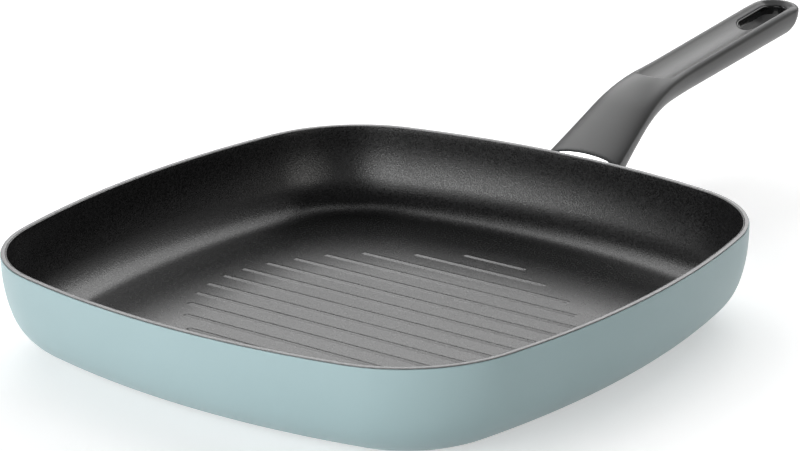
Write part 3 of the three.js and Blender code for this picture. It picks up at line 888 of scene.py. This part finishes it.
def handle_ring(s, inset=0.0):
    # the outline at a distance from the wall, with the trough and the hole's rolled edges
    ring = []
    bow = SKIRT_BOW * max(0, 1 - (s - HANDLE_START) / SKIRT_BLEND)
    for i in range(TOP_STEPS + BELLY_STEPS):
        if i < TOP_STEPS:
            angle = math.pi * i / TOP_STEPS
        else:
            angle = math.pi + math.pi * (i - TOP_STEPS) / BELLY_STEPS
        reach = s - bow * math.cos(angle) ** 2
        half, crown, belly = (size - inset for size in handle_sizes(reach))
        y, z = section_point(angle, half, crown, belly)
        z += edge_height(reach)
        if 0 < i < TOP_STEPS:
            scoop = trough_height(s, y)
            if scoop is not None:
                z = soft_min(z, scoop, RAIL_SOFTNESS)
            z -= rolled(hole_edge(s, y), HOLE_ROUND)
        elif i > TOP_STEPS:
            z += rolled(hole_edge(s, y), HOLE_ROUND)
        ring.append(Vector((WALL_X + reach, y, z)))
    return ring


def spaced(start, end, step):
    # even places from a start up to an end, about a step apart
    count = max(1, round((end - start) / step))
    return [start + (end - start) * i / count for i in range(count)]


stations = (
    spaced(HANDLE_START + SKIRT_ROUND, FINE_FROM, NECK_STEP)
    + spaced(FINE_FROM, FINE_TO, FINE_STEP)
    + spaced(FINE_TO, HOLE_FROM, GRIP_STEP)
    + spaced(HOLE_FROM, HANDLE_END - END_ROUND, FINE_STEP)
)
for i in range(END_STEPS):
    stations.append(HANDLE_END - END_ROUND * (1 - math.sin(math.pi / 2 * i / END_STEPS)))
rings = [handle_ring(s) for s in stations]
skirt = [
    handle_ring(HANDLE_START + SKIRT_ROUND * (1 - math.sin(a)), SKIRT_ROUND * (1 - math.cos(a)))
    for a in (math.pi / 2, math.pi / 4)
]
skirt_in = GUARD_INSET - FIT_GAP
mouth_depth = GUARD_TUCK + FIT_GAP
mouth = [
    handle_ring(HANDLE_START, skirt_in),
    handle_ring(HANDLE_START + mouth_depth, skirt_in),
    handle_ring(HANDLE_START + mouth_depth, skirt_in + MOUTH_SHELF),
]
bm = bmesh.new()
rows = band(bm, mouth[::-1] + skirt + rings)
bm.faces.new(rows[0])
tip = bm.verts.new((WALL_X + HANDLE_END, 0, edge_height(HANDLE_END)))
for i in range(len(rows[-1])):
    bm.faces.new((rows[-1][i], rows[-1][(i + 1) % len(rows[-1])], tip))
grip = finish_mesh("moulded_handle", bm)


def oblong_line(length, width, steps=28):
    # an oblong with round ends, as pairs
    reach = (length - width) / 2
    line = []
    for side in (1, -1):
        for i in range(steps + 1):
            angle = -math.pi / 2 + math.pi * i / steps
            line.append((side * (reach + width / 2 * math.cos(angle)),
                         side * width / 2 * math.sin(angle)))
    return line


def prism(name, line, low, high, place):
    # a closed straight form over an outline, for cutting
    bm = bmesh.new()
    rows = band(bm, [[place @ Vector((x, y, z)) for x, y in line] for z in (low, high)])
    bm.faces.new(rows[0])
    bm.faces.new(rows[1])
    return finish_mesh(name, bm)


tongue_half = TONGUE_WIDTH / 2 + FIT_GAP
tongue_end = TONGUE_LENGTH + FIT_GAP
socket_line = [(-SOCKET_LEAD, -tongue_half), (tongue_end, -tongue_half),
               (tongue_end, tongue_half), (-SOCKET_LEAD, tongue_half)]
shank_line = round_line(shank_radius + FIT_GAP, BORE_STEPS)
head_line = round_line(WASHER_DIAMETER / 2 + FIT_GAP, BORE_STEPS)
cut_away(grip, [
    prism("hole_cutter", oblong_line(HOLE_LENGTH, HOLE_WIDTH), -CUT_CLEAR, CUT_CLEAR, grip_frame),
    prism("socket_cutter", socket_line, tongue_foot - FIT_GAP, tongue_top + FIT_GAP, neck_frame),
    prism("shank_cutter", shank_line, seat_level - SHANK_LEAD, tongue_foot, screw_frame),
    prism("head_cutter", head_line, seat_level - CUT_CLEAR, seat_level, screw_frame),
], HANDLE_CREASE)
moulded = new_finish("soft_touch_plastic", {"Specular IOR Level": 0.42})
cloud = speckle(moulded, 25, 3)
tint(moulded, cloud, (0.053, 0.053, 0.0535), (0.063, 0.063, 0.0636))
roughen(moulded, cloud, 0.34, 0.40)
bumps(moulded, speckle(moulded, 2600), 0.00001)
grip.data.materials.append(moulded)
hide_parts("handle_grip")
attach(grip, "root")


# The hang hole's liner: a glossy black ring, moulded in plastic and pressed into the hole from
# above. Its top edge follows the trough just under the surface; below its foot the handle shows.
LINER_WALL = 0.6
LINER_DROP = 0.12
LINER_BREAK = 0.1
LINER_LEAD = 0.3
LINER_DEPTH = 4.4
LINER_FOOT = 0.3
LEAD_STEPS = 8


def trough_level(x, y, drop):
    # height of the trough over a place in the hole's own frame, less a drop
    s = HOLE_REACH + x * math.cos(GRIP_SLOPE)
    return (trough_height(s, y) - grip_line(s)) * math.cos(GRIP_SLOPE) - drop


def liner_row(inset, drop):
    # a row of points round the hole, at a depth under the trough
    line = oblong_line(HOLE_LENGTH - 2 * inset, HOLE_WIDTH - 2 * inset)
    return [grip_frame @ Vector((x, y, trough_level(x, y, drop))) for x, y in line]


bm = bmesh.new()
outside, inside = FIT_GAP, FIT_GAP + LINER_WALL
crest = outside + LINER_BREAK
liner_rows = [
    liner_row(outside, LINER_DEPTH),
    liner_row(outside, LINER_DROP + LINER_BREAK),
    liner_row(crest, LINER_DROP),
]
for i in range(1, LEAD_STEPS + 1):
    a = math.pi / 2 * i / LEAD_STEPS
    liner_rows.append(liner_row(crest + (LINER_WALL - LINER_BREAK) * math.sin(a),
                                LINER_DROP + LINER_LEAD * (1 - math.cos(a))))
liner_rows.append(liner_row(inside, LINER_DEPTH - LINER_FOOT))
liner_rows.append(liner_row(inside - LINER_FOOT, LINER_DEPTH))
band(bm, liner_rows, joined=True)
liner = finish_mesh("hole_liner", bm)
gloss = new_finish("gloss_black")
cloud = speckle(gloss, 80, 3)
tint(gloss, cloud, (0.006, 0.006, 0.0062), (0.010, 0.010, 0.0102))
roughen(gloss, cloud, 0.08, 0.16)
bumps(gloss, speckle(gloss, 300), 0.000004)
liner.data.materials.append(gloss)
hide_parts("hang_liner")
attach(liner, "root")
